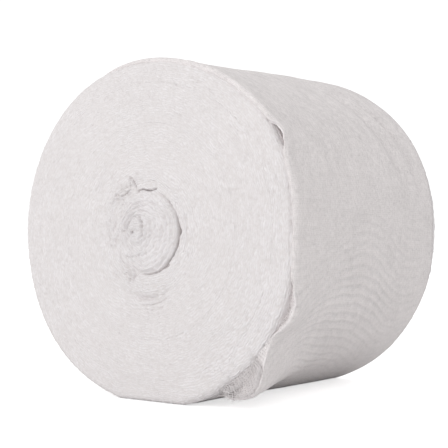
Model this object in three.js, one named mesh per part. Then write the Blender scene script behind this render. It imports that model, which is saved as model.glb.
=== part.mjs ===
// A jumbo roll of absorbent gauze bandage, lying on its side.
// One long strip of gauze, folded to four plies, is wound tightly on itself with no core tube.
// Two solids: the wound roll with its two end faces, and its outermost turn, whose end is loose.
// Units are millimetres. The winding axis runs along Y, with the near end face towards -Y.
// X is to the right as the near face is seen, Z is up, and the roll stands on Z = 0.
// Angles run round the axis from +X towards +Z, in degrees.
import * as THREE from "three";
import { mergeVertices } from "three/addons/utils/BufferGeometryUtils.js";

// Driving sizes
const FOLDED_WIDTH = 228; // a 36 inch cloth folded in four
const RADIUS = 142;
const AXIS_HEIGHT = 138; // the roll settles on a flat spot about 67 mm wide
const RIM_ROUND = 6;
const ROLL_SIDES = 80;
const ROLL_BACK = 3.5; // the near core is the prouder one, so the roll's own middle lies behind the origin

// The outermost turn
const CLOTH_THICK = 1.2; // four loose plies
const CLOTH_GAP = 0.7;
const TURN_START = 260.5; // both ends of the turn lie under the roll
const TURN_END = -80.5;
const STRIP_HALF = 4.5; // half the angle of the bare strip between the two ends
const TURN_STEPS = 108;
const WIDTH_STEPS = 12;
const WIDTH_CROWDING = 1.5; // puts more steps near the near edge, where the cloth is uneven
const EDGE_SETBACK = 1.4; // the cloth's edges end short of the end faces, round the soft rim
const TAIL_PULL = 12; // the near corner of the end itself is pulled further in, under the roll

// Where the roll is out of round. Each bump is a smooth rise of the near outline, in mm, round an angle.
const OUTLINE_BUMPS = [
  { place: "upper right shoulder", at: 36, spread: 15, rise: 2.8 },
  { place: "settled top", at: 84, spread: 28, rise: -2.2 },
  { place: "sagging lower left", at: 222, spread: 24, rise: 2.6 },
  { place: "lower right", at: 313, spread: 9, rise: 1 },
  { place: "flat right side", at: 358, spread: 10, rise: -2.4 },
];
const FAR_BUMP_SHARE = 0.4; // the far end is rounder
const FAR_SWELL = 2.2; // and a little larger, where the cloth was wound looser
const WAIST = -0.9;

// Where the near edge of the outermost turn stands off the roll, and how far in along the axis
const EDGE_FLARES = [
  { place: "lip over the shoulder", at: 28, spread: 7, lift: 4, depth: 22 },
  { place: "lip at the lower right", at: -24, spread: 7, lift: 8.5, depth: 24 },
  { place: "loose corner by the floor", at: -50, spread: 10, lift: 15.5, depth: 50 },
];
const EDGE_LIFT = 1.2; // all the rest of the near edge stands off a little
const EDGE_LIFT_DEPTH = 15;

// The core: the first turns, twisted tight by hand, stand proud of the face as a small roll of their own
const CORE_RADIUS = 31;
const CORE_PROUD = 4.4;
const CORE_TILT = 1.8; // the right side stands this much prouder than the middle
const CORE_SHOULDER = 4;
const CORE_SAG = 3; // and it hangs this much lower than round
const BUTTON_RADIUS = 10;
const BUTTON_PROUD = 2.2;
const BUTTON_SHIFT = -10; // the tightest turns lie left of the core's middle
const FACE_CROWN = 3;

// Valleys and swells of the near face round the core. r is the middle radius and across the half width.
const NEAR_RELIEF = [
  { place: "gap right of and under the core", at: -34, spread: 58, r: 33.6, across: 2.2, rise: -11 },
  { place: "gap over the core", at: 90, spread: 13, r: 33.6, across: 1.9, rise: -8 },
  { place: "swell under the core", at: -84, spread: 26, r: 44, across: 6.5, rise: 3.6 },
  { place: "crease under that swell", at: -92, spread: 20, r: 54, across: 2.4, rise: -3 },
  { place: "fold at the upper left", at: 128, spread: 20, r: 44, across: 8, rise: 3 },
  { place: "pleat at the upper left", at: 106, spread: 9, r: 41, across: 6, rise: -3.6 },
  { place: "pleat at the lower left", at: -112, spread: 9, r: 38, across: 5, rise: -3.6 },
  { place: "soft hollow of the middle turns", at: 160, spread: 60, r: 62, across: 16, rise: -1.8 },
  { place: "low ridge of the right turns", at: 10, spread: 50, r: 84, across: 14, rise: 1.4 },
];

// The far face is out of sight in use and plainer: its core is pulled in a little
const FAR_CORE_PROUD = 3;
const FAR_RELIEF = [
  { place: "gap round the core", at: 200, spread: 70, r: 33.6, across: 2.2, rise: -7 },
  { place: "swell over the core", at: 80, spread: 34, r: 46, across: 8, rise: 2.6 },
  { place: "soft hollow", at: 300, spread: 60, r: 78, across: 20, rise: -1.6 },
];

const GAUZE_COLOUR = 0xe9e5e3;
const GAUZE_ROUGHNESS = 0.95;

const radians = THREE.MathUtils.degToRad;
const smooth = THREE.MathUtils.smoothstep;
const lerp = THREE.MathUtils.lerp;

// The angle between two directions in degrees, from 0 to 180
function turnBetween(a, b) {
  const turn = Math.abs(a - b) % 360;
  return Math.min(turn, 360 - turn);
}

// 1 at the middle, falling off smoothly to nothing about two spreads away
function hump(distance, spread) {
  return Math.exp(-((distance / spread) ** 2));
}

function evenSteps(from, to, count) {
  return Array.from({ length: count }, (_, i) => lerp(from, to, i / count));
}

// The radius of the roll's outside at an angle and a place along the axis, before it settles on the floor
function roundOutline(angle, y) {
  const toFar = THREE.MathUtils.clamp(y / FOLDED_WIDTH + 0.5, 0, 1);
  const bumps = OUTLINE_BUMPS.map((b) => b.rise * hump(turnBetween(angle, b.at), b.spread));
  const outOfRound = bumps.reduce((sum, rise) => sum + rise, 0) * lerp(1, FAR_BUMP_SHARE, toFar);
  return RADIUS + outOfRound + FAR_SWELL * toFar + WAIST * hump(toFar - 0.3, 0.25);
}

// A point round the axis on a surface that lies inset mm under the outside, kept inset mm above the floor
function outsidePoint(angle, y, inset, lift = 0) {
  const cos = Math.cos(radians(angle));
  const sin = Math.sin(radians(angle));
  const toFloor = sin < 0 ? (AXIS_HEIGHT - inset) / -sin : Infinity;
  const radius = Math.min(roundOutline(angle, y) + lift - inset, toFloor);
  return new THREE.Vector3(radius * cos, y, AXIS_HEIGHT + radius * sin);
}

// How deep the roll's own surface lies under the outermost turn. It is bare on the strip between the ends.
function coverDepth(angle) {
  return (CLOTH_THICK + CLOTH_GAP) * smooth(turnBetween(angle, -90), STRIP_HALF, 2 * STRIP_HALF);
}

function reliefOf(table, radius, angle) {
  return table.reduce(
    (sum, f) => sum + f.rise * hump(turnBetween(angle, f.at), f.spread) * hump(radius - f.r, f.across),
    0,
  );
}

// How far the near face stands out at a radius and angle
function nearRelief(radius, angle) {
  const crown = FACE_CROWN * (1 - (radius / RADIUS) ** 2);
  const tilt = CORE_TILT * Math.cos(radians(angle + 15)) * (radius / CORE_RADIUS);
  const core = (CORE_PROUD + tilt) * (1 - smooth(radius, CORE_RADIUS - CORE_SHOULDER, CORE_RADIUS + 1));
  const button = BUTTON_PROUD * (1 - smooth(radius, BUTTON_RADIUS - 2, BUTTON_RADIUS + 1));
  return crown + core + button + reliefOf(NEAR_RELIEF, radius, angle);
}

function farRelief(radius, angle) {
  const core = FAR_CORE_PROUD * (1 - smooth(radius, CORE_RADIUS - CORE_SHOULDER, CORE_RADIUS + 1));
  return core + reliefOf(FAR_RELIEF, radius, angle);
}

// The lathe profile, from the near face's middle over both rims to the far face's middle
function rollProfile() {
  const nearRadii = [
    ...evenSteps(0, BUTTON_RADIUS + 1, 3),
    ...evenSteps(BUTTON_RADIUS + 1, CORE_RADIUS - CORE_SHOULDER, 4),
    ...evenSteps(CORE_RADIUS - CORE_SHOULDER, CORE_RADIUS + 5, 5),
    ...evenSteps(CORE_RADIUS + 5, CORE_RADIUS + 25, 5),
    ...evenSteps(CORE_RADIUS + 25, RADIUS - RIM_ROUND, 4),
  ];
  const farRadii = [
    ...evenSteps(0, CORE_RADIUS - CORE_SHOULDER, 3),
    ...evenSteps(CORE_RADIUS - CORE_SHOULDER, CORE_RADIUS + 5, 3),
    ...evenSteps(CORE_RADIUS + 5, RADIUS - RIM_ROUND, 4),
  ];
  const half = FOLDED_WIDTH / 2;
  const rim = [0, 30, 60, 90].map((turn) => ({
    r: RADIUS - RIM_ROUND + RIM_ROUND * Math.sin(radians(turn)),
    y: half - RIM_ROUND + RIM_ROUND * Math.cos(radians(turn)),
  }));
  const side = evenSteps(-half + RIM_ROUND, half - RIM_ROUND, 7).slice(1);
  return [
    ...nearRadii.map((r) => new THREE.Vector2(r, -half)),
    ...rim.map((p) => new THREE.Vector2(p.r, -p.y)),
    ...side.map((y) => new THREE.Vector2(RADIUS, y)),
    ...rim.toReversed().map((p) => new THREE.Vector2(p.r, p.y)),
    ...farRadii.toReversed().map((r) => new THREE.Vector2(r, half)),
  ];
}

// Moves every point of a geometry to where place(x, y, z) says, and closes its seams
function shaped(geometry, place) {
  const points = geometry.getAttribute("position");
  for (let i = 0; i < points.count; i++) {
    const moved = place(points.getX(i), points.getY(i), points.getZ(i));
    points.setXYZ(i, moved.x, moved.y, moved.z);
  }
  geometry.deleteAttribute("normal");
  geometry.deleteAttribute("uv");
  const closed = mergeVertices(geometry, 1e-3);
  closed.computeVertexNormals();
  return closed;
}

// The wound roll: a lathe form, pushed out of round, set on its flat spot and given its end faces
function rollGeometry() {
  const half = FOLDED_WIDTH / 2;
  const lathe = new THREE.LatheGeometry(rollProfile(), ROLL_SIDES);
  return shaped(lathe, (x, y, z) => {
    const radius = Math.hypot(x, z);
    const angle = THREE.MathUtils.radToDeg(Math.atan2(z, x));
    const share = radius / RADIUS;
    const outside = outsidePoint(angle, y, coverDepth(angle));
    const reach = Math.hypot(outside.x, outside.z - AXIS_HEIGHT) / RADIUS;
    const scale = lerp(1, reach, share ** 3);
    const coreShare = y < 0 ? 1 - smooth(radius, 0, CORE_RADIUS) : 0;
    const sagShare = hump(turnBetween(angle, -90), 50) * hump(radius - CORE_RADIUS, CORE_RADIUS / 2);
    const nearShare = 1 - smooth(y, -half, -half + RIM_ROUND);
    const farShare = smooth(y, half - RIM_ROUND, half);
    const out = nearShare * nearRelief(radius, angle) - farShare * farRelief(radius, angle);
    const sag = y < 0 ? CORE_SAG * sagShare : 0;
    return new THREE.Vector3(BUTTON_SHIFT * coreShare + x * scale, y - out, AXIS_HEIGHT + z * scale - sag);
  });
}

// How far the outermost turn lifts off the roll at an angle, fading in along the axis from its near edge
function edgeLift(angle, fromNear) {
  const flares = EDGE_FLARES.map(
    (f) => f.lift * hump(turnBetween(angle, f.at), f.spread) * hump(fromNear, f.depth),
  );
  return flares.reduce((sum, lift) => sum + lift, EDGE_LIFT * hump(fromNear, EDGE_LIFT_DEPTH));
}

// The near edge isn't straight: it wanders by a millimetre or two
function nearSetback(angle) {
  const wander = 0.9 * Math.sin(radians(3 * angle + 35)) + 0.6 * Math.sin(radians(7 * angle));
  return EDGE_SETBACK + wander + TAIL_PULL * hump(angle - TURN_END, 10);
}

// The outermost turn: a long flat box wrapped round the roll, its near edge standing off in lips
function outerTurnGeometry() {
  const flat = new THREE.BoxGeometry(1, 1, 1, TURN_STEPS, WIDTH_STEPS, 1);
  return shaped(flat, (alongTurn, acrossWidth, depth) => {
    const angle = lerp(TURN_START, TURN_END, alongTurn + 0.5);
    const near = -FOLDED_WIDTH / 2 + nearSetback(angle);
    const far = FOLDED_WIDTH / 2 - EDGE_SETBACK;
    const y = lerp(near, far, (acrossWidth + 0.5) ** WIDTH_CROWDING);
    return outsidePoint(angle, y, depth > 0 ? 0 : CLOTH_THICK, edgeLift(angle, y - near));
  });
}

const gauze = new THREE.MeshStandardMaterial({
  color: GAUZE_COLOUR,
  roughness: GAUZE_ROUGHNESS,
  metalness: 0,
});

function part(name, geometry) {
  const mesh = new THREE.Mesh(geometry, gauze.clone());
  mesh.name = name;
  return mesh;
}

const gauzeRoll = new THREE.Group();
gauzeRoll.position.y = ROLL_BACK;
gauzeRoll.add(part("wound_roll", rollGeometry()));
gauzeRoll.add(part("outer_turn", outerTurnGeometry()));

export default gauzeRoll;
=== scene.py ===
"""Dresses the gauze bandage roll: its wound end faces, its outermost turn, the frayed corner and the lint.

Sizes are in millimetres and angles in degrees, counted round the winding axis from +X towards +Z,
as in the part's own source. They become metres only where a mesh's points are written.
"""
import math

import bpy
import numpy as np
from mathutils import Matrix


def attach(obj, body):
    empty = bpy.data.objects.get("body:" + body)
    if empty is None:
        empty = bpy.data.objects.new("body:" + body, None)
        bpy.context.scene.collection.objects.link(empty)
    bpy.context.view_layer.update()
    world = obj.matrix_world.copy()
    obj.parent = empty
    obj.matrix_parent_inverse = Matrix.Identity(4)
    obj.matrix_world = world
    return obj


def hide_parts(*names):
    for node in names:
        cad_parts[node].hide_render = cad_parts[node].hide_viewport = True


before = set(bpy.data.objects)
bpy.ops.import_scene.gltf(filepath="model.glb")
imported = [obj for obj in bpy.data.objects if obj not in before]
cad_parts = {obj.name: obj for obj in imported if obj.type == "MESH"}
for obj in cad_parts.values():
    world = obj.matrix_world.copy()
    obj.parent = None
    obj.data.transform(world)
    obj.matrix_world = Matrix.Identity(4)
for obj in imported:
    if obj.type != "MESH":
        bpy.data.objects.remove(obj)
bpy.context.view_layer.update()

MM = 0.001

# The roll's main sizes, as its solids have them
FOLDED_WIDTH = 228
HALF = FOLDED_WIDTH / 2
RADIUS = 142
AXIS_HEIGHT = 138
RIM_ROUND = 6
ROLL_BACK = 3.5

# The outermost turn, its edges and its turned-in ply
COVER = 1.9  # its thickness and the air under it
OUTER_THICK = 1.6
PLY_THICK = 0.7  # the turned-in ply alone
FOOT_IN = 3.2  # where the turned-in ply meets the rim
FOOT_UNDER = 2.5
EDGE_SETBACK = 1.4  # the cloth's edges end short of the end faces
SET_BACK = 7.5  # how much further in the near edge lies where it isn't wrapped over the rim
UNDER_BACK = 6.5  # and further again underneath
FAR_SET_BACK = 4.5  # how much further in the far edge lies
WRAP = 9.5  # the width of the outermost turn that goes over the rim
WRAP_TURN = 64  # and the angle by which it turns there
WRAP_OUT = 0.4  # the wrapped cloth stands this far before the face plane
EDGE_BURIED = 2.6  # its raw edge goes back into the turns
EDGE_DOWN = 1.1  # a bare edge lies this much closer to the roll
TURN_START = 265
TURN_END = -94
TURN_STEPS = 424
WIDTH_STEPS = 104
WIDTH_CROWDING = 1.35  # puts more steps near the near edge
READ_ON = -92  # angles below this one are read as part of the next turn

# A bare rim lies close under the outline and goes down under the cloth further in
BARE_COVER = 0.3
DIP = 2.2
DIP_WIDTH = 3
NEAR_DIP_PAST = 3.5  # where it starts, past the rim's rounding
FAR_DIP_PAST = -1.5

# Where the roll is out of round, as its solids are
OUTLINE_BUMPS = [
    {"place": "upper right shoulder", "at": 36, "spread": 15, "rise": 2.8},
    {"place": "settled top", "at": 84, "spread": 28, "rise": -2.2},
    {"place": "sagging lower left", "at": 222, "spread": 24, "rise": 2.6},
    {"place": "lower right", "at": 313, "spread": 9, "rise": 1},
    {"place": "flat right side", "at": 358, "spread": 10, "rise": -2.4},
]
FAR_BUMP_SHARE = 0.4
FAR_SWELL = 2.2
WAIST = -0.9

# Where the near edge of the outermost turn stands off the roll, and what the rim, ply and hem do there
EDGE_FLARES = [
    {"place": "lip over the shoulder", "at": 30, "spread": 5.5, "lift": 3.2, "depth": 22},
    {"place": "lip at the lower right", "at": -24, "spread": 7, "lift": 8.5, "depth": 24},
    {"place": "loose corner by the floor", "at": -50.5, "spread": 10, "lift": 17.2, "depth": 58},
]
RIM_LEANS = [
    {"place": "leans out at the lower right", "at": -30, "spread": 13, "out": 1.5},
    {"place": "draws back behind the lip of the shoulder", "at": 30.5, "spread": 5.5, "out": -0.6},
]
FOOT_SHIFTS = [
    {"place": "deep under the lip at the lower right", "at": -25, "spread": 8, "inward": 3.6},
    {"place": "between that lip and the loose corner", "at": -37, "spread": 6, "inward": -2.3},
    {"place": "deep under the lip over the shoulder", "at": 30, "spread": 6, "inward": 3.5},
]
POCKETS = [
    {"place": "left end of the loose corner", "at": -60, "spread": 4, "depth": 14},
    {"place": "behind the lip over the shoulder", "at": 30, "spread": 7, "depth": 4.5},
]
LOW_HEMS = [
    {"place": "on the lip at the lower right", "at": -26, "spread": 8, "rolled": 0.9},
    {"place": "on the loose corner", "at": -47, "spread": 8, "rolled": 0.9},
]
HEM_RISE = 2.1
HEM_IN = 4.4  # from the near edge to the hem's middle
HEM_WIDTH = 3.4

# Slack bands that run slantwise over the shoulder near the far end, by their place along the axis. The cloth
# sinks along them and rises between them, with painted shade and light to match
SLACK_BANDS = [
    {"place": "band by the far rim", "along": 178, "spread": 4.5, "slack": 1},
    {"place": "band beside it", "along": 150, "spread": 5, "slack": 0.7},
    {"place": "full cloth between them", "along": 165, "spread": 5, "slack": -0.5},
]
SLACK_SLANT = 0.62  # mm along the axis for a degree round it
SLACK_MIDDLE = 56  # the angle at which their places are counted
SLACK_RELIEF = 3
# painted shade along the slack bands, and painted light along the full cloth between them
SLACK_PAINTED_SHADE = -0.055

# The end faces. Each valley or swell has its middle radius r and its half width across
CORE_RADIUS = 30.5
CORE_PROUD = 2.3
CORE_TILT = 0.9
CORE_SHOULDER = 3
CORE_SAG = 3
BUTTON_RADIUS = 10
BUTTON_PROUD = 2.2
BUTTON_SHIFT = -10
FACE_CROWN = 3
NEAR_RELIEF = [
    {"place": "gap right of the core", "at": -26, "spread": 56, "r": 32.4, "across": 0.72, "rise": -7.5},
    {"place": "groove over the core", "at": 88, "spread": 18, "r": 33.2, "across": 1.6, "rise": -1.6},
    {"place": "swell under the core", "at": -84, "spread": 26, "r": 44, "across": 6.5, "rise": 3.6},
    {"place": "crease under that swell", "at": -92, "spread": 20, "r": 54, "across": 2.4, "rise": -3},
    {"place": "fold at the upper left", "at": 128, "spread": 20, "r": 44, "across": 8, "rise": 3},
    {"place": "pleat at the upper left", "at": 106, "spread": 9, "r": 41, "across": 6, "rise": -3.6},
    {"place": "pleat at the lower left", "at": -112, "spread": 9, "r": 38, "across": 5, "rise": -3.6},
    {"place": "soft hollow at the left", "at": 160, "spread": 60, "r": 62, "across": 16, "rise": -1.8},
    {"place": "line beside the selvage", "at": 6, "spread": 17, "r": 138.8, "across": 0.7, "rise": -1.5},
    {"place": "low ridge of the right turns", "at": 10, "spread": 50, "r": 84, "across": 14, "rise": 1.4},
]
FAR_CORE_PROUD = 3  # the far face is out of sight in use and plainer
FAR_RELIEF = [
    {"place": "gap round the core", "at": 200, "spread": 70, "r": 33.6, "across": 2.2, "rise": -7},
    {"place": "swell over the core", "at": 80, "spread": 34, "r": 46, "across": 8, "rise": 2.6},
    {"place": "soft hollow", "at": 300, "spread": 60, "r": 78, "across": 20, "rise": -1.6},
]

# Creases and small marks of the near face, where the camera sees them: x and z from the axis
SEEN_FROM = 0.8  # x moves this much for each mm that a place stands nearer than the plane they were taken in
SEEN_PLANE = 6
NEAR_CREASES = [  # each with its half width, its rise and its course
    (
        "gap over the core", 0.55, -2.7,
        [(-7, 31.6), (-4.8, 33.3), (-1.2, 33.4), (4, 32.8), (9.2, 32.9), (13.3, 34.2)],
    ),
    ("left end of that gap", 1.1, -2.2, [(-7.2, 31), (-5, 33.4)]),
    ("right end of it", 1, -2, [(10.5, 32.6), (13.3, 34.6)]),
    ("edge of the core at the upper right", 0.6, -1.3, [(14, 31), (21, 27.5), (26.5, 22.7), (31.6, 13.2)]),
    ("pit right of the core", 1.2, -2.6, [(35, 3), (37, -0.5), (35, -5)]),
    ("pit at the lower right", 1.1, -2.4, [(20, -29.5), (24.5, -27), (25.5, -24)]),
    ("left pleat over the core", 0.75, -2.3, [(-17, 45), (-12.5, 41), (-9.5, 37), (-8, 33)]),
    ("line beside it", 0.6, -1.6, [(-15.5, 45), (-14.5, 38.5), (-15.5, 33)]),
    ("fold beside that", 0.65, -1.9, [(-27.9, 26.7), (-23, 29), (-17.5, 31.5), (-13, 34.6)]),
    ("second fold", 0.55, -1.1, [(-33, 24), (-28, 26), (-24, 28)]),
    ("outer fold", 0.6, -1.1, [(-35, 18), (-34, 24), (-30, 30), (-25, 34)]),
    ("pleat under the core", 0.9, -1.9, [(-8, -35.5), (-11, -38), (-12, -42)]),
    ("line left of that pleat", 0.55, -1, [(-15, -37), (-16, -42), (-14.5, -45)]),
    ("first line under the swell", 0.6, -0.8, [(-18, -54), (6, -54), (20, -50), (35, -41)]),
    ("second line", 0.7, -1, [(-17, -60), (2, -60), (16, -57), (34, -48)]),
    ("third line", 0.6, -0.7, [(-6, -64), (12, -63), (27, -58)]),
    ("upper mark at the right", 0.7, -0.8, [(46.5, -27), (49.5, -24), (51.5, -22)]),
    ("lower mark at the right", 0.7, -0.8, [(40.5, -35), (45.5, -30.5)]),
    ("marks at the upper left", 0.6, -0.7, [(-55, 30), (-52, 36), (-47, 40)]),
    ("broken edge left of the core", 0.6, -1.2, [(-30, 14), (-31.5, 7), (-30, 1)]),
    ("its middle part", 1, -1.8, [(-30.5, -6), (-32.2, -8.3), (-30, -10)]),
    ("its outer part", 0.7, -1.2, [(-37, -8), (-35.5, -11), (-36, -14)]),
    ("its lower part", 0.7, -1.4, [(-25.5, -18), (-24.6, -22.9), (-20, -28)]),
    ("curl round the button", 1.1, -2.7, [(-10, 12.5), (-5, 11.5), (-3, 5), (-2.6, -3), (-6, -8)]),
    (
        "turn under the button", 0.6, -1.2,
        [(-23.5, -18.9), (-15, -20.8), (-8, -20.6), (-4.4, -18.6), (0.9, -14.6)],
    ),
    ("hole of the button", 1.1, -2.6, [(-14.6, -2.4), (-13.9, -1), (-13.6, 0.6)]),
    ("pit at the upper right", 0.9, -1.7, [(31.8, 114.4), (32.6, 115.1), (33.6, 115.6)]),
    ("pit at the upper left", 0.8, -1.3, [(-57.6, 87.4), (-56.6, 87.8), (-55.6, 88.4)]),
]

# Where the turns round the core are crumpled into small folds
CRUMPLES = [
    {"place": "upper left of the core", "x": -25, "z": 31, "spread": 13, "rise": 1.1},
    {"place": "left of the core", "x": -34, "z": 0, "spread": 12, "rise": 0.9},
    {"place": "lower left of the core", "x": -20, "z": -33, "spread": 9, "rise": 1},
    {"place": "button", "x": -10, "z": 2, "spread": 10, "rise": 0.6},
    {"place": "under the core", "x": 6, "z": -57, "spread": 15, "rise": 0.7},
]

# The fine turns of the end faces
TURN_PITCH = 1.9  # between two turns that stand proud
TURN_RELIEF = 0.5
DASH = 2.5  # the length over which one turn keeps its height
GRAIN_RELIEF = 0.2
FLUFF_RELIEF = 0.12
CORE_TURN_PITCH = 3.8
CORE_TURN_RELIEF = 1.05
COARSE_LOWER_RIGHT = 1.1  # how much coarser the turns are there than elsewhere
COARSE_ROUND_CORE = 0.7
COARSE_IN_CORE = 1.1
CALM_UPRIGHT = 0.45  # and how much less grain there is at the top and bottom
CORE_WANDER = 0.7  # the core's edge isn't a true circle
CREASE_WANDER = 0.45
UNEVEN_GAP = 0.5
FINE_FADES = (5, 12)  # the fine turns fade out over the rim, this far from its start
FACE_MAP_RADIUS = 80  # where the map of the turns is true to size

# Threads and fibres
LINT_FIBRES = 420
LINT_THICK = 0.16
LINT_REACH = 141
LINT_DRAWN_IN = 0.985  # keeps the fibres of the rim inside the outline
THREAD_THICK = 0.5
LONG_THREADS = 13
CROSS_THREADS = 19
HANGING_ENDS = 9

# How fine the tables of random values and the steps of a thinning wall are
NOISE_CELLS = 1024
DASH_ROWS = 256
DASHES_A_ROW = 2048
WEIGHT_STEPS = 12

# The light
SKY = 0.765
SKY_SEEN = 1.1  # how bright the background looks
FLOOR_GLOW = 0.62
FRONT_LIGHT = 6.9
TOP_LIGHT = 1.0
LIGHT_AIM = (0, 0, 0.13)

# The weave
WARP_PITCH = 25.4 / 19
WEFT_PITCH = 25.4 / 15


def hump(distance, spread):
    """1 at the middle, falling off smoothly to nothing about two spreads away."""
    return np.exp(-((distance / spread) ** 2))


def smooth(value, low, high):
    """From 0 at low to 1 at high, with soft ends."""
    t = np.clip((value - low) / (high - low), 0, 1)
    return t * t * (3 - 2 * t)


def turn_between(a, b):
    """The angle between two directions, from 0 to 180."""
    turn = np.abs(a - b) % 360
    return np.minimum(turn, 360 - turn)


def soft_noise(across, along, seed, wrap=NOISE_CELLS):
    """Smooth noise from -1 to 1 over unit cells, which meets itself again after wrap cells along."""
    grid = np.random.default_rng(seed).uniform(-1, 1, (NOISE_CELLS, wrap))
    i = np.floor(across).astype(int)
    j = np.floor(along).astype(int)
    s = across - i
    t = along - j
    s = s * s * (3 - 2 * s)
    t = t * t * (3 - 2 * t)
    here = i % NOISE_CELLS
    beyond = (i + 1) % NOISE_CELLS
    low = grid[here, j % wrap] * (1 - t) + grid[here, (j + 1) % wrap] * t
    high = grid[beyond, j % wrap] * (1 - t) + grid[beyond, (j + 1) % wrap] * t
    return low * (1 - s) + high * s


def round_noise(radius, angle, cell_r, cells_round, seed):
    """Noise round the axis, cell_r mm deep and a whole number of cells round."""
    return soft_noise(radius / cell_r, (angle % 360) / 360 * cells_round, seed, cells_round)


def round_axis(table, key, angle):
    """What a table's places add up to at an angle."""
    return sum(row[key] * hump(turn_between(angle, row["at"]), row["spread"]) for row in table)


def round_outline(angle, y):
    """The radius of the roll's outside, before it settles on the floor."""
    to_far = np.clip(y / FOLDED_WIDTH + 0.5, 0, 1)
    out_of_round = round_axis(OUTLINE_BUMPS, "rise", angle) * (1 + (FAR_BUMP_SHARE - 1) * to_far)
    return RADIUS + out_of_round + FAR_SWELL * to_far + WAIST * hump(to_far - 0.3, 0.25)


def outside_radius(angle, y, inset, lift=0):
    """The radius of a surface inset mm under the roll's outside, kept inset mm above the floor."""
    sin = np.sin(np.radians(angle))
    to_floor = np.where(sin < -0.3, (AXIS_HEIGHT - inset) / np.maximum(-sin, 0.3), np.inf)
    return np.minimum(round_outline(angle, y) + lift - inset, to_floor)


def relief_of(table, radius, angle):
    return sum(
        f["rise"] * hump(turn_between(angle, f["at"]), f["spread"]) * hump(radius - f["r"], f["across"])
        for f in table
    )


def near_form(radius, angle):
    """How far the near face's main forms stand out."""
    crown = FACE_CROWN * (1 - (radius / RADIUS) ** 2)
    tilt = CORE_TILT * np.cos(np.radians(angle + 15)) * (radius / CORE_RADIUS)
    core = (CORE_PROUD + tilt) * (1 - smooth(radius, CORE_RADIUS - CORE_SHOULDER, CORE_RADIUS + 1))
    button = BUTTON_PROUD * (1 - smooth(radius, BUTTON_RADIUS - 2, BUTTON_RADIUS + 1))
    return crown + core + button + relief_of(NEAR_RELIEF, radius, angle)


def far_form(radius, angle):
    core = FAR_CORE_PROUD * (1 - smooth(radius, CORE_RADIUS - CORE_SHOULDER, CORE_RADIUS + 1))
    return core + relief_of(FAR_RELIEF, radius, angle)


def creases(x, z, proud):
    """The relief of the near face's creases and marks at places x, z that stand proud mm."""
    seen_x = x - SEEN_FROM * (proud - SEEN_PLANE)
    seen_x = seen_x + CREASE_WANDER * soft_noise(x / 4 + 60, z / 4 + 60, 70)
    z = z + CREASE_WANDER * soft_noise(x / 4 + 60, z / 4 + 60, 71)
    total = 0
    for _, wide, rise, along in NEAR_CREASES:
        points = np.array(along, float)
        runs = np.hypot(*np.diff(points, axis=0).T)
        before = np.concatenate([[0], np.cumsum(runs)])
        nearest = np.full(len(x), np.inf)
        at = np.zeros(len(x))
        for (x0, z0), (x1, z1), run, start in zip(points, points[1:], runs, before):
            share = np.clip(((seen_x - x0) * (x1 - x0) + (z - z0) * (z1 - z0)) / run ** 2, 0, 1)
            away = np.hypot(seen_x - x0 - share * (x1 - x0), z - z0 - share * (z1 - z0))
            at = np.where(away < nearest, (start + share * run) / before[-1], at)
            nearest = np.minimum(nearest, away)
        taper = smooth(np.minimum(at, 1 - at), -0.12, 0.35)
        lip = 0.22 * hump(nearest - 2.6 * wide, 1.6 * wide)
        total = total + rise * taper * (hump(nearest, wide * (0.6 + 0.4 * taper)) - lip)
    return total


def crumples(x, z):
    """Small sharp folds that run every way, in the places where the turns are crumpled."""
    large = 1 - 2.4 * np.abs(soft_noise(x / 3.6 + 80, z / 3.6 + 80, 73))
    small = 1 - 2.4 * np.abs(soft_noise(x / 1.8 + 120, z / 1.8 + 120, 74))
    folds = large + 0.45 * small - 0.6
    return sum(c["rise"] * hump(np.hypot(x - c["x"], z - c["z"]), c["spread"]) * folds for c in CRUMPLES)


def even_noise(radius, angle, cell, seed):
    """Noise in square cells over an end face, the same size everywhere."""
    across = radius * np.cos(np.radians(angle)) / cell + 300
    up = radius * np.sin(np.radians(angle)) / cell + 300
    return soft_noise(across, up, seed)


def turn_waves(radius, angle, seed):
    """How far the turns wander inward and outward from true circles, in mm."""
    broad = 2.4 * round_noise(radius, angle, 19, 13, seed)
    middle = 0.9 * even_noise(radius, angle, 8, seed + 1)
    small = 0.8 * even_noise(radius, angle, 2.9, seed + 2)
    return broad + middle + small


def dashes(ring, angle, length, seed):
    """A value from -1 to 1 for each dash of a ring. The dashes are length mm long and run into each other."""
    table = np.random.default_rng(seed).uniform(-1, 1, (DASH_ROWS, DASHES_A_ROW))
    count = np.maximum(np.round(math.tau * np.abs(ring) * TURN_PITCH / length), 5).astype(int)
    place = (angle % 360) / 360 * count
    start = np.floor(place).astype(int)
    share = place - start
    share = share * share * (3 - 2 * share)
    row = ring.astype(int) % DASH_ROWS
    return table[row, start % count] * (1 - share) + table[row, (start + 1) % count] * share


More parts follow.
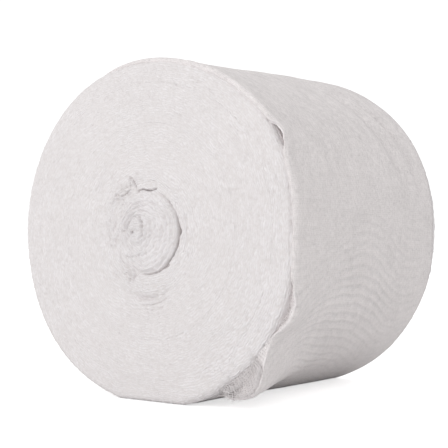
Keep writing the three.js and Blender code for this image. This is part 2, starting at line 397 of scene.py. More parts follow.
def fine_turns(radius, angle, seed):
    """The edges of the single turns: their height, and how deep each point lies between them, 0 to 1, painted
    as shade by the end faces' material.
    """
    phase = (radius + turn_waves(radius, angle, seed)) / TURN_PITCH
    ring = np.floor(phase + 0.5)
    crest = (np.cos(math.tau * phase) * 0.5 + 0.5) ** 0.75
    near_to = dashes(ring, angle, DASH, seed + 3)
    coarse = 1 + COARSE_LOWER_RIGHT * hump(turn_between(angle, -38), 34) * smooth(radius, 85, 125)
    coarse = coarse + COARSE_ROUND_CORE * hump(radius - 42, 11)
    coarse = coarse + COARSE_IN_CORE * (1 - smooth(radius, 26, 34))
    strength = (0.72 + 0.3 * round_noise(radius, angle, 9, 40, seed + 5)) * coarse
    upright = np.sin(np.radians(angle)) ** 2
    stands = crest * strength * (0.68 + 0.62 * near_to)
    grain = even_noise(radius, angle, 2, seed + 8) + 0.3 * even_noise(radius, angle, 3.6, seed + 9)
    fluff = even_noise(radius, angle, 1.2, seed + 6) + 0.6 * even_noise(radius, angle, 0.8, seed + 7)
    grain = grain * (1 - CALM_UPRIGHT * upright)
    height = TURN_RELIEF * (stands - 0.35) + GRAIN_RELIEF * grain * coarse + FLUFF_RELIEF * fluff
    depth = np.clip(0.8 - 0.8 * stands - 0.2 * grain - 0.14 * fluff, 0, 1.2)
    return height, depth


def core_turns(radius, angle):
    """The thicker turns of the proud core, which wind out from its button."""
    inside = smooth(radius, BUTTON_RADIUS - 2, BUTTON_RADIUS + 2) * (1 - smooth(radius, 29, 32))
    phase = radius / CORE_TURN_PITCH + angle / 360 + 0.12 * round_noise(radius, angle, 9, 7, 90)
    strength = 0.75 + 0.35 * round_noise(radius, angle, 6, 11, 91) - 0.4 * hump(turn_between(angle, 180), 70)
    return CORE_TURN_RELIEF * np.cos(math.tau * phase) * inside * strength


def deselect():
    if bpy.context.object and bpy.context.object.mode != "OBJECT":
        bpy.ops.object.mode_set(mode="OBJECT")
    bpy.ops.object.select_all(action="DESELECT")


def only(obj):
    deselect()
    obj.select_set(True)
    bpy.context.view_layer.objects.active = obj


def pick(obj, kind, chosen):
    """Opens a piece for editing with only the chosen points, edges or faces selected."""
    only(obj)
    bpy.ops.object.mode_set(mode="EDIT")
    bpy.ops.mesh.select_mode(type=kind)
    bpy.ops.mesh.select_all(action="DESELECT")
    bpy.ops.object.mode_set(mode="OBJECT")
    parts = {"VERT": obj.data.vertices, "EDGE": obj.data.edges, "FACE": obj.data.polygons}[kind]
    parts.foreach_set("select", chosen)
    bpy.ops.object.mode_set(mode="EDIT")


def read_points(obj):
    flat = np.empty(len(obj.data.vertices) * 3)
    obj.data.vertices.foreach_get("co", flat)
    return flat.reshape(-1, 3)


def write_points(obj, points):
    obj.data.vertices.foreach_set("co", points.ravel())
    obj.data.update()


def apply_modifier(obj, modifier):
    only(obj)
    bpy.ops.object.modifier_apply(modifier=modifier.name)


def smoothed(obj, levels):
    part = obj.modifiers.new("finer", "SUBSURF")
    part.levels = part.render_levels = levels
    apply_modifier(obj, part)


def flat_rings(name, r_from, r_to, bands, sides, levels):
    """A flat ring of cloth edges, drawn out band by band from a circle and made finer."""
    deselect()
    bpy.ops.mesh.primitive_circle_add(vertices=sides, radius=r_from, fill_type="NOTHING")
    obj = bpy.context.object
    obj.name = name
    bpy.ops.object.mode_set(mode="EDIT")
    radii = np.linspace(r_from, r_to, bands + 1)
    for inner, outer in zip(radii, radii[1:]):
        bpy.ops.mesh.extrude_edges_move()
        grow = outer / inner
        bpy.ops.transform.resize(value=(grow, grow, 1), center_override=(0, 0, 0))
    bpy.ops.object.mode_set(mode="OBJECT")
    smoothed(obj, levels)
    return obj


def set_map(obj, name, u, v, whole_turn=None):
    """A UV map in metres of cloth from values at the points. Where u starts a new turn it is read on."""
    layer = obj.data.uv_layers.new(name=name)
    mesh = obj.data
    corner = np.empty(len(mesh.loops), dtype=np.int32)
    mesh.loops.foreach_get("vertex_index", corner)
    uv = np.stack([u[corner], v[corner]], 1)
    if whole_turn:
        start = np.empty(len(mesh.polygons), dtype=np.int32)
        total = np.empty(len(mesh.polygons), dtype=np.int32)
        mesh.polygons.foreach_get("loop_start", start)
        mesh.polygons.foreach_get("loop_total", total)
        last = np.repeat(np.maximum.reduceat(uv[:, 0], start), total)
        uv[uv[:, 0] < last - whole_turn / 2, 0] += whole_turn
    layer.data.foreach_set("uv", (uv * MM).ravel())


def set_value(obj, name, values):
    obj.data.attributes.new(name, "FLOAT", "POINT").data.foreach_set("value", values.astype(np.float32))


def close_pole(obj, radius):
    pick(obj, "VERT", radius < radius.min() + 0.05)
    bpy.ops.mesh.merge(type="CENTER")
    bpy.ops.object.mode_set(mode="OBJECT")


def close_back(obj, depth, rings):
    """Turns the open edges of a face piece into the roll and joins them behind it."""
    only(obj)
    bpy.ops.object.mode_set(mode="EDIT")
    bpy.ops.mesh.select_mode(type="EDGE")
    bpy.ops.mesh.select_all(action="DESELECT")
    bpy.ops.mesh.select_non_manifold(extend=False)
    bpy.ops.mesh.extrude_edges_move(TRANSFORM_OT_translate={"value": (0, depth * MM, 0)})
    if rings == 2:
        bpy.ops.mesh.bridge_edge_loops()
    else:
        bpy.ops.mesh.edge_face_add()
    bpy.ops.mesh.select_all(action="SELECT")
    bpy.ops.mesh.normals_make_consistent(inside=False)
    bpy.ops.object.mode_set(mode="OBJECT")


def finish_piece(obj, material, node):
    obj.data.materials.clear()
    obj.data.materials.append(material)
    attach(obj, "root")
    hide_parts(node)


def underneath(angle):
    """1 at the foot of the roll, left of the loose corner."""
    return 1 - smooth(angle, -65, -56)


def set_back(angle):
    """1 where the outermost turn's near edge lies behind the rim, 0 where it is wrapped over it."""
    return np.maximum(smooth(angle, 100, 125), underneath(angle))


def rim_lean(angle, inward):
    """How far the near rim leans out at the lower right, or draws back behind the lip of the shoulder."""
    return round_axis(RIM_LEANS, "out", angle) * (1 - smooth(inward, 5, 16))


def end_face(name, r_from, r_to, bands, sides, near, material):
    """One ring of an end face. Past the rim its points go over onto the side, under the outermost turn."""
    obj = flat_rings(name, max(r_from, 0.4), r_to, bands, sides, 3)
    flat = read_points(obj)
    radius = np.hypot(flat[:, 0], flat[:, 1])
    angle = np.degrees(np.arctan2(flat[:, 1], flat[:, 0]))
    cos = np.cos(np.radians(angle))
    sin = np.sin(np.radians(angle))
    rim_start = RADIUS - RIM_ROUND
    bend = np.clip((radius - rim_start) / RIM_ROUND, 0, math.pi / 2)
    past = np.maximum(radius - rim_start - RIM_ROUND * math.pi / 2, 0)
    profile = np.minimum(radius, rim_start) + RIM_ROUND * np.sin(bend)
    inward = RIM_ROUND * (1 - np.cos(bend)) + past
    side = -1 if near else 1
    y = side * (HALF - inward)
    along_turn = np.where(angle < READ_ON, angle + 360, angle)
    if near:
        back = set_back(along_turn)
        dip_from = RIM_ROUND + NEAR_DIP_PAST + UNDER_BACK * underneath(along_turn)
    else:
        back = 1
        dip_from = RIM_ROUND + FAR_DIP_PAST
    dip = smooth(inward, dip_from, dip_from + DIP_WIDTH)
    cover = COVER - back * (COVER - BARE_COVER - DIP * dip)
    scale = 1 + (outside_radius(angle, y, cover) / RADIUS - 1) * (profile / RADIUS) ** 3
    fine, depth = fine_turns(radius, angle, 20 if near else 60)
    on_face = 1 - smooth(radius, rim_start + FINE_FADES[0], rim_start + FINE_FADES[1])
    fine = fine * (0.35 + 0.65 * on_face) * (1 - 0.6 * (1 - smooth(radius, 2, 7)))
    x = profile * scale * cos
    z = profile * scale * sin
    if near:
        wander = round_noise(profile, angle, 30, 17, 92)
        profile = profile + CORE_WANDER * wander * hump(profile - CORE_RADIUS, 8)
        shape = near_form(profile, angle)
        x = x + BUTTON_SHIFT * (1 - smooth(profile, 0, CORE_RADIUS))
        z = z - CORE_SAG * hump(turn_between(angle, -90), 50) * hump(profile - CORE_RADIUS, CORE_RADIUS / 2)
        marks = creases(x, z, shape) + crumples(x, z)
        shape = shape + (marks + core_turns(radius, angle)) * on_face
        gap = relief_of(NEAR_RELIEF[:2], profile, angle)
        shape = shape + UNEVEN_GAP * gap * round_noise(profile, angle, 60, 23, 93)
        # painted shade in the creases and in the gaps round the core; the core is also made a little darker
        # all over
        depth = np.clip(depth - 0.2 * marks - 0.12 * gap - 0.12 * (1 - smooth(radius, 26, 34)), 0, 2)
    else:
        shape = far_form(profile, angle)
    out = shape * (1 - smooth(inward, 0, RIM_ROUND)) + fine * np.cos(bend)
    grow = fine * np.sin(bend)
    if near:
        grow = grow + rim_lean(angle, inward) * smooth(radius, RADIUS - 26, RADIUS - 4)
    z = np.maximum(AXIS_HEIGHT + z + grow * sin, 0)
    write_points(obj, np.stack([x + grow * cos, y + side * out + ROLL_BACK, z], 1) * MM)
    whole_turn = math.tau * FACE_MAP_RADIUS
    set_map(obj, "turns", (angle % 360) / 360 * whole_turn, radius, whole_turn)
    # painted shade: how dark each point is painted, deepest between the turns and in the creases and gaps,
    # and a set level over the rim
    set_value(obj, "painted_shade_between_turns", depth * on_face + 0.3 * (1 - on_face))
    if r_from == 0:
        close_pole(obj, radius)
    close_back(obj, 5 if near else -5, 2 if r_from else 1)
    bpy.ops.object.shade_smooth_by_angle(angle=math.radians(75))
    finish_piece(obj, material, "wound_roll")


def show_no_bands(obj, angle):
    """The bands need several plies over each other, so a ply alone has none."""
    set_value(obj, "ply_phase", angle * 0 + 0.25)
    set_value(obj, "ply_strength", angle * 0)


def inner_side(material):
    """The side of the last turn but one, which shows under the outermost turn and at the bottom."""
    deselect()
    bpy.ops.mesh.primitive_cylinder_add(vertices=360, radius=RADIUS, depth=FOLDED_WIDTH - 2 * RIM_ROUND)
    obj = bpy.context.object
    obj.name = "inner_side"
    heights = read_points(obj)[:, 2]
    ends = np.empty(len(obj.data.edges) * 2, dtype=np.int32)
    obj.data.edges.foreach_get("vertices", ends)
    ends = ends.reshape(-1, 2)
    pick(obj, "EDGE", np.abs(heights[ends[:, 0]] - heights[ends[:, 1]]) > 1)
    bpy.ops.mesh.subdivide(number_cuts=31)
    bpy.ops.object.mode_set(mode="OBJECT")
    flat = read_points(obj)
    angle = np.degrees(np.arctan2(flat[:, 1], flat[:, 0]))
    y = -flat[:, 2]
    radius = outside_radius(angle, y, COVER + 0.15)
    x = radius * np.cos(np.radians(angle))
    z = np.maximum(AXIS_HEIGHT + radius * np.sin(np.radians(angle)), 0)
    write_points(obj, np.stack([x, y + ROLL_BACK, z], 1) * MM)
    whole_turn = math.tau * RADIUS
    set_map(obj, "weave", (angle % 360) / 360 * whole_turn, y, whole_turn)
    show_no_bands(obj, angle)
    bpy.ops.object.shade_smooth_by_angle(angle=math.radians(40))
    finish_piece(obj, material, "wound_roll")


def near_edge(angle):
    """Where the outermost turn's near edge lies along the axis."""
    wander = 0.9 * np.sin(np.radians(3 * angle + 35)) + 0.6 * np.sin(np.radians(7 * angle))
    ragged = 0.4 * soft_noise(angle * 0 + 3, angle / 5, 5) + 0.25 * soft_noise(angle * 0 + 7, angle / 1.7, 6)
    further_in = SET_BACK * set_back(angle) + UNDER_BACK * underneath(angle)
    return -HALF + EDGE_SETBACK + wander + ragged + further_in


def stands_off(angle, from_near):
    """How far the outermost turn is lifted off the roll by its lips and its loose corner."""
    return sum(
        f["lift"] * hump(turn_between(angle, f["at"]), f["spread"]) * hump(from_near, f["depth"])
        for f in EDGE_FLARES
    )


def tucked(angle):
    """1 where the near edge hugs the rim, 0 where it stands off."""
    flare = stands_off(angle, angle * 0)
    return 1 - smooth(flare, 0.5, 3.5)


def rolled_hem(angle, from_near):
    """The lumpy roll along the edge, over the upper right shoulder and on the two lower lips."""
    there = smooth(angle, 12, 30) * (1 - smooth(angle, 62, 90))
    there = there + round_axis(LOW_HEMS, "rolled", angle)
    lumps = 0.8 + 0.5 * soft_noise(angle / 3.2 + 30, from_near / 4 + 30, 33)
    return HEM_RISE * there * lumps * hump(from_near - HEM_IN, HEM_WIDTH)


def wrapped(angle, y):
    """The near edge, wrapped over the rim where it is tucked: the new y, and how far it drops."""
    near = near_edge(angle)
    from_near = y - near
    full = math.radians(WRAP_TURN)
    turn = full * np.clip(1 - from_near / WRAP, 0, 1)
    reach = WRAP / full
    start = -HALF + reach * math.sin(full) - WRAP_OUT
    past = np.clip(from_near - WRAP, 0, None)
    span = HALF - EDGE_SETBACK - near - WRAP
    along = start + past * (HALF - EDGE_SETBACK - start) / span - reach * np.sin(turn)
    back = set_back(angle)
    share = tucked(angle) * (1 - back)
    buried = EDGE_BURIED * hump(from_near, 1.4)
    hem = rolled_hem(angle, from_near)
    new_y = y + (along + buried - y) * share - hem * np.sin(turn)
    drop = reach * (1 - np.cos(turn)) * share - hem * np.cos(turn) + EDGE_DOWN * back * hump(from_near, 2.5)
    return new_y, drop


def slack_bands(angle, y):
    """How slack the cloth is over the shoulder near the far end, 1 along the middle of the first band."""
    along = y + HALF - (SLACK_MIDDLE - angle) * SLACK_SLANT
    bands = sum(b["slack"] * hump(along - b["along"], b["spread"]) for b in SLACK_BANDS)
    return bands * hump(angle - 38, 26)


def outer_lift(angle, y):
    """How far the outermost turn lies off the roll: its lips, its curled edge, its swells and slack bands."""
    from_near = y - near_edge(angle)
    curl = 0.35 * soft_noise(angle * 0 + 1, angle / 7, 8) + 0.2 * soft_noise(angle * 0 + 5, angle / 2.6, 9)
    curl = curl + 0.7 * (1 - tucked(angle)) * soft_noise(angle * 0 + 9, angle / 1.4, 10)
    lip = (0.25 + curl) * hump(from_near, 6) * (1 - 0.7 * tucked(angle))
    swell = 0.8 * soft_noise(y / 46 + 20, angle / 24 + 40, 31)
    swell = swell + 0.35 * soft_noise(y / 15 + 20, angle / 30 + 40, 32)
    free = smooth(turn_between(angle, -90), 12, 30)
    return stands_off(angle, from_near) + lip + (swell - SLACK_RELIEF * slack_bands(angle, y)) * free


def rolled(angle, y, radius):
    """Places on the roll, or on the floor where it has settled, in metres."""
    x = radius * np.cos(np.radians(angle))
    z = np.maximum(AXIS_HEIGHT + radius * np.sin(np.radians(angle)), 0)
    return np.stack([x, y + ROLL_BACK, z], 1) * MM


def thicken(obj, thickness, offset, thinner=None):
    """Gives cloth its thickness, less where thinner says so, from 0 to 1 at each point."""
    wall = obj.modifiers.new("thickness", "SOLIDIFY")
    wall.thickness = thickness * MM
    wall.offset = offset
    if thinner is not None:
        group = obj.vertex_groups.new(name="full")
        steps = np.round((1 - thinner) * WEIGHT_STEPS).astype(int)
        for step in range(WEIGHT_STEPS + 1):
            group.add(np.flatnonzero(steps == step).tolist(), step / WEIGHT_STEPS, "REPLACE")
        wall.vertex_group = "full"
    apply_modifier(obj, wall)


def outer_turn(material):
    """The outermost turn: a flat strip rolled round the roll and given its thickness."""
    deselect()
    bpy.ops.mesh.primitive_grid_add(x_subdivisions=TURN_STEPS, y_subdivisions=WIDTH_STEPS, size=1)
    obj = bpy.context.object
    obj.name = "outer_turn_cloth"
    flat = read_points(obj)
    angle = TURN_START + (TURN_END - TURN_START) * (flat[:, 0] + 0.5)
    near = near_edge(angle)
    far = HALF - EDGE_SETBACK - FAR_SET_BACK - 0.5 * soft_noise(angle * 0 + 2, angle / 6, 7)
    y = near + (far - near) * (flat[:, 1] + 0.5) ** WIDTH_CROWDING
    along, drop = wrapped(angle, y)
    write_points(obj, rolled(angle, along, outside_radius(angle, along, 0, outer_lift(angle, y) - drop)))
    arc = (TURN_START - angle) / 360 * math.tau * RADIUS
    set_map(obj, "weave", y, arc)
    set_value(obj, "ply_phase", ply_phase(angle, y))
    set_value(obj, "ply_strength", ply_strength(angle, y))
    # the slack bands, which the material also paints as shade
    set_value(obj, "slack", slack_bands(angle, y))
    # painted light and shade of fine crinkles over the upper shoulder and the top
    set_value(obj, "painted_crinkle_shade", smooth(angle, 5, 35) * (1 - smooth(angle, 80, 110)))
    thicken(obj, OUTER_THICK, -1, 0.7 * (1 - smooth(y - near, 0, 10)) * tucked(angle))
    bpy.ops.object.shade_smooth()
    finish_piece(obj, material, "outer_turn")
    return obj


def foot_depth(angle):
    """How far behind the face plane the turned-in ply meets the rim."""
    return FOOT_IN + round_axis(FOOT_SHIFTS, "inward", angle)


def turned_ply(angle, share, deeper=0.0):
    """A place on the turned-in ply: share 0 is at the near edge and 1 at the rim. It lies deeper mm in."""
    turns_in = -0.35 * hump(turn_between(angle, 30), 20)
    edge = near_edge(angle)
    edge_y, drop = wrapped(angle, edge)
    depth = foot_depth(angle)
    crest = outside_radius(angle, edge_y, 0.6, outer_lift(angle, edge) - drop)
    foot = outside_radius(angle, depth - HALF, FOOT_UNDER) + rim_lean(angle, depth)
    y = edge_y + 0.3 + (depth - HALF - edge_y) * smooth(share, turns_in + 0.2, turns_in + 0.75) + deeper
    return rolled(angle, y, crest + (foot - crest) * share)


def turned_edge(name, angle_from, angle_to, steps, material):
    """The turned-in ply between the near edge and the rim, where the outermost turn stands off."""
    deselect()
    bpy.ops.mesh.primitive_grid_add(x_subdivisions=steps, y_subdivisions=20, size=1)
    obj = bpy.context.object
    obj.name = name
    flat = read_points(obj)
    angle = angle_from + (angle_to - angle_from) * (flat[:, 0] + 0.5)
    share = flat[:, 1] + 0.5
    width = stands_off(angle, 0) + FOOT_UNDER + foot_depth(angle)
    gathers = soft_noise(share * 2 + 60, angle / 1.9 + 90, 51)
    gathers = gathers + 0.5 * soft_noise(share * 6, angle / 0.9 + 90, 52)
    sag = np.sin(math.pi * share) * (0.1 * width + gathers + round_axis(POCKETS, "depth", angle))
    write_points(obj, turned_ply(angle, share, sag))
    set_map(obj, "weave", share * width, angle / 360 * math.tau * RADIUS)
    show_no_bands(obj, angle)
    thicken(obj, PLY_THICK, 0)
    bpy.ops.object.shade_smooth()
    finish_piece(obj, material, "outer_turn")
    return obj


def thread_piece(name, paths, thickness, material, node):
    """One mesh of many thin threads, each drawn as a round line along its path."""
    lines = bpy.data.curves.new(name, "CURVE")
    lines.dimensions = "3D"
    lines.bevel_depth = thickness / 2 * MM
    lines.bevel_resolution = 0
    lines.use_fill_caps = True
    for path in paths:
        line = lines.splines.new("POLY")
        line.points.add(len(path) - 1)
        for point, place in zip(line.points, np.asarray(path) * MM):
            point.co = (*place, 1)
    obj = bpy.data.objects.new(name, lines)
    bpy.context.collection.objects.link(obj)
    only(obj)
    bpy.ops.object.convert(target="MESH")
    obj = bpy.context.object
    bpy.ops.object.shade_smooth()
    finish_piece(obj, material, node)
    return obj


def lint_on_face(material):
    """Short cotton fibres that stand off the near face and its rim."""
    pick_from = np.random.default_rng(77)
    paths = []
    for _ in range(LINT_FIBRES):
        radius = LINT_REACH * math.sqrt(pick_from.uniform(0.02, 1))
        angle = pick_from.uniform(0, 360)
        length = pick_from.uniform(2.5, 7)
        heading = math.radians(angle + 90 + pick_from.normal(0, 45))
        bend = pick_from.normal(0, 0.9)
        share = np.linspace(0, 1, 6)
        turn = heading + bend * (share - 0.5)
        step = length / 5
        x = radius * math.cos(math.radians(angle)) + np.cumsum(np.cos(turn)) * step
        z = radius * math.sin(math.radians(angle)) + np.cumsum(np.sin(turn)) * step
        from_axis = np.minimum(np.hypot(x, z), LINT_REACH)
        rim = np.clip(from_axis - RADIUS + RIM_ROUND, 0, RIM_ROUND)
        around = np.full(6, angle)
        form = near_form(from_axis, around) * (1 - rim / RIM_ROUND)
        arch = pick_from.uniform(0.2, 1.3) * np.sin(math.pi * share)
        height = form - rim ** 2 / RIM_ROUND * 0.5 + 0.35 + arch
        level = np.maximum(AXIS_HEIGHT + z * LINT_DRAWN_IN, 0.4)
        paths.append(np.stack([x * LINT_DRAWN_IN, -HALF - height + ROLL_BACK, level], 1))
    thread_piece("lint_fibres", paths, LINT_THICK, material, "wound_roll")


def corner_point(angle, share, proud):
    """A place proud mm before the turned-in ply of the loose corner."""
    return turned_ply(np.asarray(angle, float), share, -proud) / MM


def corner_threads(material):
    """The open, frayed weave of the loose corner: a few crossing threads and the ends that hang from it."""
    pick_from = np.random.default_rng(12)
    paths = []
    for start in np.linspace(0.06, 0.94, LONG_THREADS):
        angles = np.linspace(-43, -60, 26)
        wander = start + 0.05 * np.sin(np.linspace(0, 5, 26) + start * 9) + pick_from.normal(0, 0.012, 26)
        paths.append(corner_point(angles, np.clip(wander, 0, 1), 0.9))
    for start in np.linspace(-43, -61, CROSS_THREADS):
        shares = np.linspace(0, 1, 12)
        angles = start + 0.7 * np.sin(shares * 4 + start) + pick_from.normal(0, 0.12, 12)
        paths.append(corner_point(angles, shares, 1.2))
    for start in np.linspace(-49, -60, HANGING_ENDS):
        first = corner_point([start], 0.02, 0.4)[0]
        share = np.linspace(0, 1, 7)[:, None]
        swing = np.array([pick_from.normal(-2, 2.5), pick_from.uniform(-3, 0.5), -pick_from.uniform(1, 3.5)])
        path = first + swing * share + pick_from.normal(0, 0.25, (7, 3)) * share
        path[:, 2] = np.maximum(path[:, 2], 0.35)
        paths.append(path)
    return thread_piece("corner_threads", paths, THREAD_THICK, material, "outer_turn")


def ply_phase(angle, y):
    """Where the plies' threads fall in and out of step, counted in bands of the pattern that shows."""
    arc = math.tau * RADIUS * (angle / 360)
    along = y + HALF
    hill = 36 * hump(along - 109, 56) + 14 * smooth(along, 175, 228) - 13
    drift = 2.6 * soft_noise(along / 40 + 9, arc / 40 + 50, 41)
    drift = drift + 1.1 * soft_noise(along / 12 + 9, arc / 18 + 50, 42)
    pitch = 8.3 - 2.2 * hump(along - 45, 34)
    return (arc - hill + drift) / pitch


def ply_strength(angle, y):
    """How clearly those bands show, from 0 to 1: most of all low on the right side."""
    low = hump(turn_between(angle, -26), 26) * smooth(angle, -86, -50)
    along = y + HALF
    middle = 0.45 + 0.55 * hump(along - 90, 80)
    patch = 0.8 + 0.4 * soft_noise(along / 30 + 3, angle / 12 + 50, 43)
    return np.clip((0.12 + 0.88 * low * middle) * patch, 0, 1)


class Nodes:
    """A small hand for wiring a material's nodes."""

    def __init__(self, name):
        self.material = bpy.data.materials.new(name)
        self.material.use_nodes = True
        self.tree = self.material.node_tree
        self.shader = self.tree.nodes["Principled BSDF"]

    def add(self, kind, inputs=None, **settings):
        node = self.tree.nodes.new(kind)
        for key, value in settings.items():
            setattr(node, key, value)
        for key, value in (inputs or {}).items():
            self.put(node, key, value)
        return node

    def put(self, node, key, value):
        if isinstance(value, bpy.types.NodeSocket):
            self.tree.links.new(value, node.inputs[key])
        else:
            node.inputs[key].default_value = value

    def math(self, operation, a, b=0.0, c=0.0):
        node = self.add("ShaderNodeMath", {0: a, 1: b}, operation=operation)
        if operation == "MULTIPLY_ADD":
            self.put(node, 2, c)
        return node.outputs[0]

    def mix(self, share, a, b):
        node = self.add("ShaderNodeMix", {0: share}, data_type="RGBA")
        self.put(node, 6, a)
        self.put(node, 7, b)
        return node.outputs[2]

    def value_of(self, name):
        return self.add("ShaderNodeAttribute", attribute_name=name, attribute_type="GEOMETRY").outputs["Fac"]

    def noise(self, vector, scale, detail=2.0, roughness=0.5):
        node = self.add("ShaderNodeTexNoise", {"Vector": vector, "Scale": scale, "Detail": detail})
        self.put(node, "Roughness", roughness)
        return node.outputs["Fac"]

    def bump(self, height, distance, strength=1.0, under=None):
        node = self.add("ShaderNodeBump", {"Height": height, "Distance": distance, "Strength": strength})
        if under:
            self.put(node, "Normal", under)
        return node.outputs["Normal"]


# The end faces are painted lighter on the turns' crests and darker, as painted shade, between them
CREST_COTTON = (0.866, 0.838, 0.847, 1)
SHADED_COTTON = (0.66, 0.615, 0.60, 1)
WOVEN_COTTON = (0.868, 0.828, 0.828, 1)
# Colours of the weave's pores: painted shade, what shows through the holes lying in shade; darkest in the
# open net of the loose corner
PORE_SHADE = (0.655, 0.6, 0.58, 1)
OPEN_NET_PORE_SHADE = (0.2, 0.18, 0.17, 1)


def thread_material():
    """Single cotton threads: twisted, with painted shade in the twist, slightly uneven, brighter than the
    cloth behind them.
    """
    n = Nodes("cotton_thread")
    place = n.add("ShaderNodeTexCoord").outputs["Object"]
    twist = n.noise(place, 1400, 2, 0.6)
    uneven = n.noise(place, 120)
    # painted shade of the twist
    colour = n.mix(n.math("MULTIPLY", twist, 0.6), CREST_COTTON, SHADED_COTTON)
    tone = n.math("MULTIPLY_ADD", uneven, 0.1, 0.95)
    colour = n.add("ShaderNodeHueSaturation", {"Color": colour, "Value": tone}).outputs[0]
    return cotton(n, colour, n.bump(twist, 0.0002, 0.5))


def cotton(nodes, colour, normal):
    """Sets a material's colour, relief and the dull finish that all the cotton shares."""
    nodes.put(nodes.shader, "Base Color", colour)
    nodes.put(nodes.shader, "Normal", normal)
    nodes.put(nodes.shader, "Roughness", 0.95)
    nodes.put(nodes.shader, "Specular IOR Level", 0.12)
    nodes.put(nodes.shader, "Sheen Weight", 0.12)
    nodes.put(nodes.shader, "Sheen Roughness", 0.6)
    return nodes.material


def turn_edges_material():
    """Cut edges of gauze on an end face: fluffy, and with painted shade, darker and warmer, between the
    turns.
    """
    n = Nodes("gauze_turn_edges")
    place = n.add("ShaderNodeTexCoord").outputs["Object"]
    turns = n.add("ShaderNodeUVMap", uv_map="turns").outputs["UV"]
    stretched = n.add("ShaderNodeMapping", {"Vector": turns, "Scale": (1, 2.1, 1)}).outputs[0]
    fibres = n.noise(stretched, 600, 3, 0.7)
    lint = n.noise(place, 900, 3, 0.7)
    mottle = n.noise(place, 22)
    # painted shade between the turns, in the creases and in the gap round the core, broken up by the fibres
    between = n.value_of("painted_shade_between_turns")
    shade = n.math("MULTIPLY", between, n.math("MULTIPLY_ADD", fibres, 0.9, 0.15))
    colour = n.mix(shade, CREST_COTTON, SHADED_COTTON)
    tone = n.math("MULTIPLY_ADD", mottle, 0.03, n.math("MULTIPLY_ADD", lint, 0.12, 0.91))
    colour = n.add("ShaderNodeHueSaturation", {"Color": colour, "Value": tone}).outputs[0]
    normal = n.bump(fibres, 0.0009, 0.6)
    normal = n.bump(lint, 0.0006, 0.45, normal)
    return cotton(n, colour, normal)


def weave_material(name, pore_shade_colour, openness, pitch, paleness):
    """Open plain weave in loose plies. Its threads run round the roll and along it, pitch times apart. Its
    pores are painted darker, as painted shade seen through the holes.
    """
    n = Nodes(name)
    weave = n.add("ShaderNodeUVMap", uv_map="weave").outputs["UV"]
    parts = n.add("ShaderNodeSeparateXYZ", {0: weave})
    slub = n.noise(weave, 110)
    wobble = n.math("MULTIPLY_ADD", slub, 0.003, -0.0015)
    along = n.math("ADD", parts.outputs[0], wobble)
    around = n.math("ADD", parts.outputs[1], wobble)
    warp = n.math("SINE", n.math("MULTIPLY", along, math.tau / (WARP_PITCH * pitch * MM)))
    weft = n.math("SINE", n.math("MULTIPLY", around, math.tau / (WEFT_PITCH * pitch * MM)))
    threads = n.math("MAXIMUM", warp, n.math("MULTIPLY", weft, 0.45))
    pores = n.math("MULTIPLY_ADD", threads, -0.5, 0.5)
    phase = n.value_of("ply_phase")
    strength = n.value_of("ply_strength")
    wide_band = n.math("SINE", n.math("MULTIPLY", phase, math.tau))
    narrow_band = n.math("SINE", n.math("MULTIPLY_ADD", phase, 2 * math.tau, 0.9))
    bands = n.math("MULTIPLY_ADD", narrow_band, 0.45, wide_band)
    shown = n.math("MULTIPLY", bands, strength)
    picks = n.add("ShaderNodeMapping", {"Vector": weave, "Scale": (1.5, 0.7, 1)}).outputs[0]
    dashed = n.noise(picks, 400, 2, 0.7)
    streaks = n.noise(picks, 85, 2, 0.6)
    fine = n.noise(weave, 1100, 2, 0.6)
    mottle = n.noise(weave, 26)
    open_here = n.math("MULTIPLY_ADD", shown, 0.2, n.math("MULTIPLY_ADD", dashed, -0.9, openness))
    # painted shade in the pores, where the threads leave holes
    shade = n.math("MULTIPLY", pores, open_here)
    colour = n.mix(shade, WOVEN_COTTON, pore_shade_colour)
    painted_crinkle_shade = n.value_of("painted_crinkle_shade")
    level = n.math("MULTIPLY_ADD", dashed, 0.33, n.math("MULTIPLY_ADD", shown, 0.055, paleness))
    level = n.math("MULTIPLY_ADD", streaks, 0.18, level)
    # painted light and shade of crinkles: lighter and darker dashes, stronger over the upper shoulder
    uneven = n.math("ADD", n.math("SUBTRACT", dashed, 0.5), n.math("MULTIPLY_ADD", streaks, 0.8, -0.4))
    level = n.math("MULTIPLY_ADD", uneven, n.math("MULTIPLY", painted_crinkle_shade, 0.12), level)
    # painted shade along the slack bands
    level = n.math("MULTIPLY_ADD", n.value_of("slack"), SLACK_PAINTED_SHADE, level)
    tone = n.math("MULTIPLY_ADD", mottle, 0.11, level)
    colour = n.add("ShaderNodeHueSaturation", {"Color": colour, "Value": tone}).outputs[0]
    normal = n.bump(shown, 0.0003)
    normal = n.bump(threads, 0.00025, 0.7, normal)
    normal = n.bump(dashed, 0.0008, 0.5, normal)
    normal = n.bump(fine, 0.0003, 0.3, normal)
    return cotton(n, colour, normal)


def seen_only(tree, colour, strength):
    """An emission that the camera sees and the object doesn't."""
    path = tree.nodes.new("ShaderNodeLightPath")
    glow = tree.nodes.new("ShaderNodeEmission")
    glow.inputs["Color"].default_value = colour
    strong = tree.nodes.new("ShaderNodeMath")
    strong.operation = "MULTIPLY"
    strong.inputs[1].default_value = strength
    tree.links.new(path.outputs["Is Camera Ray"], strong.inputs[0])
    tree.links.new(strong.outputs[0], glow.inputs["Strength"])
    return glow


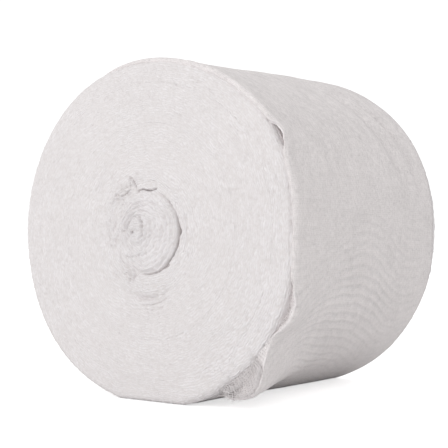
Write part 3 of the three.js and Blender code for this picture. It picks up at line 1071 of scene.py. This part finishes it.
def stage():
    """A pale floor that runs out of sight, soft daylight and one soft light from the front left."""
    deselect()
    bpy.ops.mesh.primitive_plane_add(size=14, location=(0, 0, 0))
    floor = bpy.context.object
    floor.name = "floor"
    pale = Nodes("pale_floor")
    pale.put(pale.shader, "Base Color", (0.93, 0.93, 0.93, 1))
    pale.put(pale.shader, "Roughness", 0.9)
    glow = seen_only(pale.tree, (1, 1, 1, 1), FLOOR_GLOW)
    both = pale.tree.nodes.new("ShaderNodeAddShader")
    pale.tree.links.new(pale.shader.outputs[0], both.inputs[0])
    pale.tree.links.new(glow.outputs[0], both.inputs[1])
    pale.tree.links.new(both.outputs[0], pale.tree.nodes["Material Output"].inputs[0])
    floor.data.materials.append(pale.material)
    world = bpy.data.worlds.new("daylight")
    bpy.context.scene.world = world
    world.use_nodes = True
    tree = world.node_tree
    sky = tree.nodes["Background"]
    sky.inputs["Color"].default_value = (1, 1, 1, 1)
    sky.inputs["Strength"].default_value = SKY
    seen = tree.nodes.new("ShaderNodeBackground")
    seen.inputs["Color"].default_value = (1, 1, 1, 1)
    seen.inputs["Strength"].default_value = SKY_SEEN
    path = tree.nodes.new("ShaderNodeLightPath")
    mix = tree.nodes.new("ShaderNodeMixShader")
    tree.links.new(path.outputs["Is Camera Ray"], mix.inputs[0])
    tree.links.new(sky.outputs[0], mix.inputs[1])
    tree.links.new(seen.outputs[0], mix.inputs[2])
    tree.links.new(mix.outputs[0], tree.nodes["World Output"].inputs[0])
    soft_light("front_left", (-0.12, -1.5, 0.72), 1.0, FRONT_LIGHT)
    soft_light("above", (0.45, 0.1, 1.7), 1.2, TOP_LIGHT)


def soft_light(name, place, size, power):
    lamp = bpy.data.lights.new(name, "AREA")
    lamp.size = size
    lamp.energy = power
    light = bpy.data.objects.new(name, lamp)
    bpy.context.collection.objects.link(light)
    light.location = place
    aim = np.array(LIGHT_AIM) - np.array(place)
    flat = math.hypot(aim[0], aim[1])
    tip = math.pi / 2 - math.atan2(-aim[2], flat)
    light.rotation_euler = (tip, 0, math.atan2(aim[1], aim[0]) - math.pi / 2)


# The camera stands level with the roll's middle, to the right of the near face
CAMERA_TURN = 36.2
CAMERA_LENS = 91.8
FACE_DISTANCE = 919.3  # along the view to the near face's middle
FACE_LEFT = 60.4  # the face's middle lies this far left of the line of sight
FACE_MIDDLE_DOWN = 0.6  # and this far under the axis
HORIZON_SHIFT = 7.8 / 448
SENSOR_WIDTH = 36
VIEW_END = 50  # metres


def camera():
    """The camera at the photograph's viewing angle."""
    turn = math.radians(CAMERA_TURN)
    view = np.array([-math.sin(turn), math.cos(turn), 0])
    right = np.array([math.cos(turn), math.sin(turn), 0])
    face = np.array([0, -HALF + ROLL_BACK, AXIS_HEIGHT - FACE_MIDDLE_DOWN])
    data = bpy.data.cameras.new("camera")
    data.lens = CAMERA_LENS
    data.sensor_width = SENSOR_WIDTH
    data.shift_y = HORIZON_SHIFT
    data.clip_end = VIEW_END
    obj = bpy.data.objects.new("camera", data)
    bpy.context.collection.objects.link(obj)
    obj.location = (face - FACE_DISTANCE * view + FACE_LEFT * right) * MM
    obj.rotation_euler = (math.pi / 2, 0, turn)
    bpy.context.scene.camera = obj


camera()
stage()
bpy.context.scene.view_settings.view_transform = "Standard"
edges = turn_edges_material()
woven = weave_material("gauze_weave", PORE_SHADE, 0.95, 1, 0.685)
# made paler than the cloth on the roll: painted light that lifts the shade of the loose corner, where the net
# lies
open_net = weave_material("open_gauze_net", OPEN_NET_PORE_SHADE, 1.05, 1.5, 0.8)
end_face("near_core", 0, 41, 11, 48, True, edges)
end_face("near_inner_turns", 41, 88, 12, 72, True, edges)
end_face("near_middle_turns", 88, 122, 8, 96, True, edges)
end_face("near_rim_turns", 122, 157, 9, 120, True, edges)
end_face("far_inner_turns", 0, 70, 15, 50, False, edges)
end_face("far_outer_turns", 70, 157, 16, 80, False, edges)
inner_side(woven)
cloth = outer_turn(woven)
loose = thread_material()
corner_net = corner_threads(loose)
lint_on_face(loose)
corner_fold = turned_edge("loose_corner_fold", -70, -9, 300, open_net)
shoulder_fold = turned_edge("shoulder_fold", 15, 45, 140, woven)
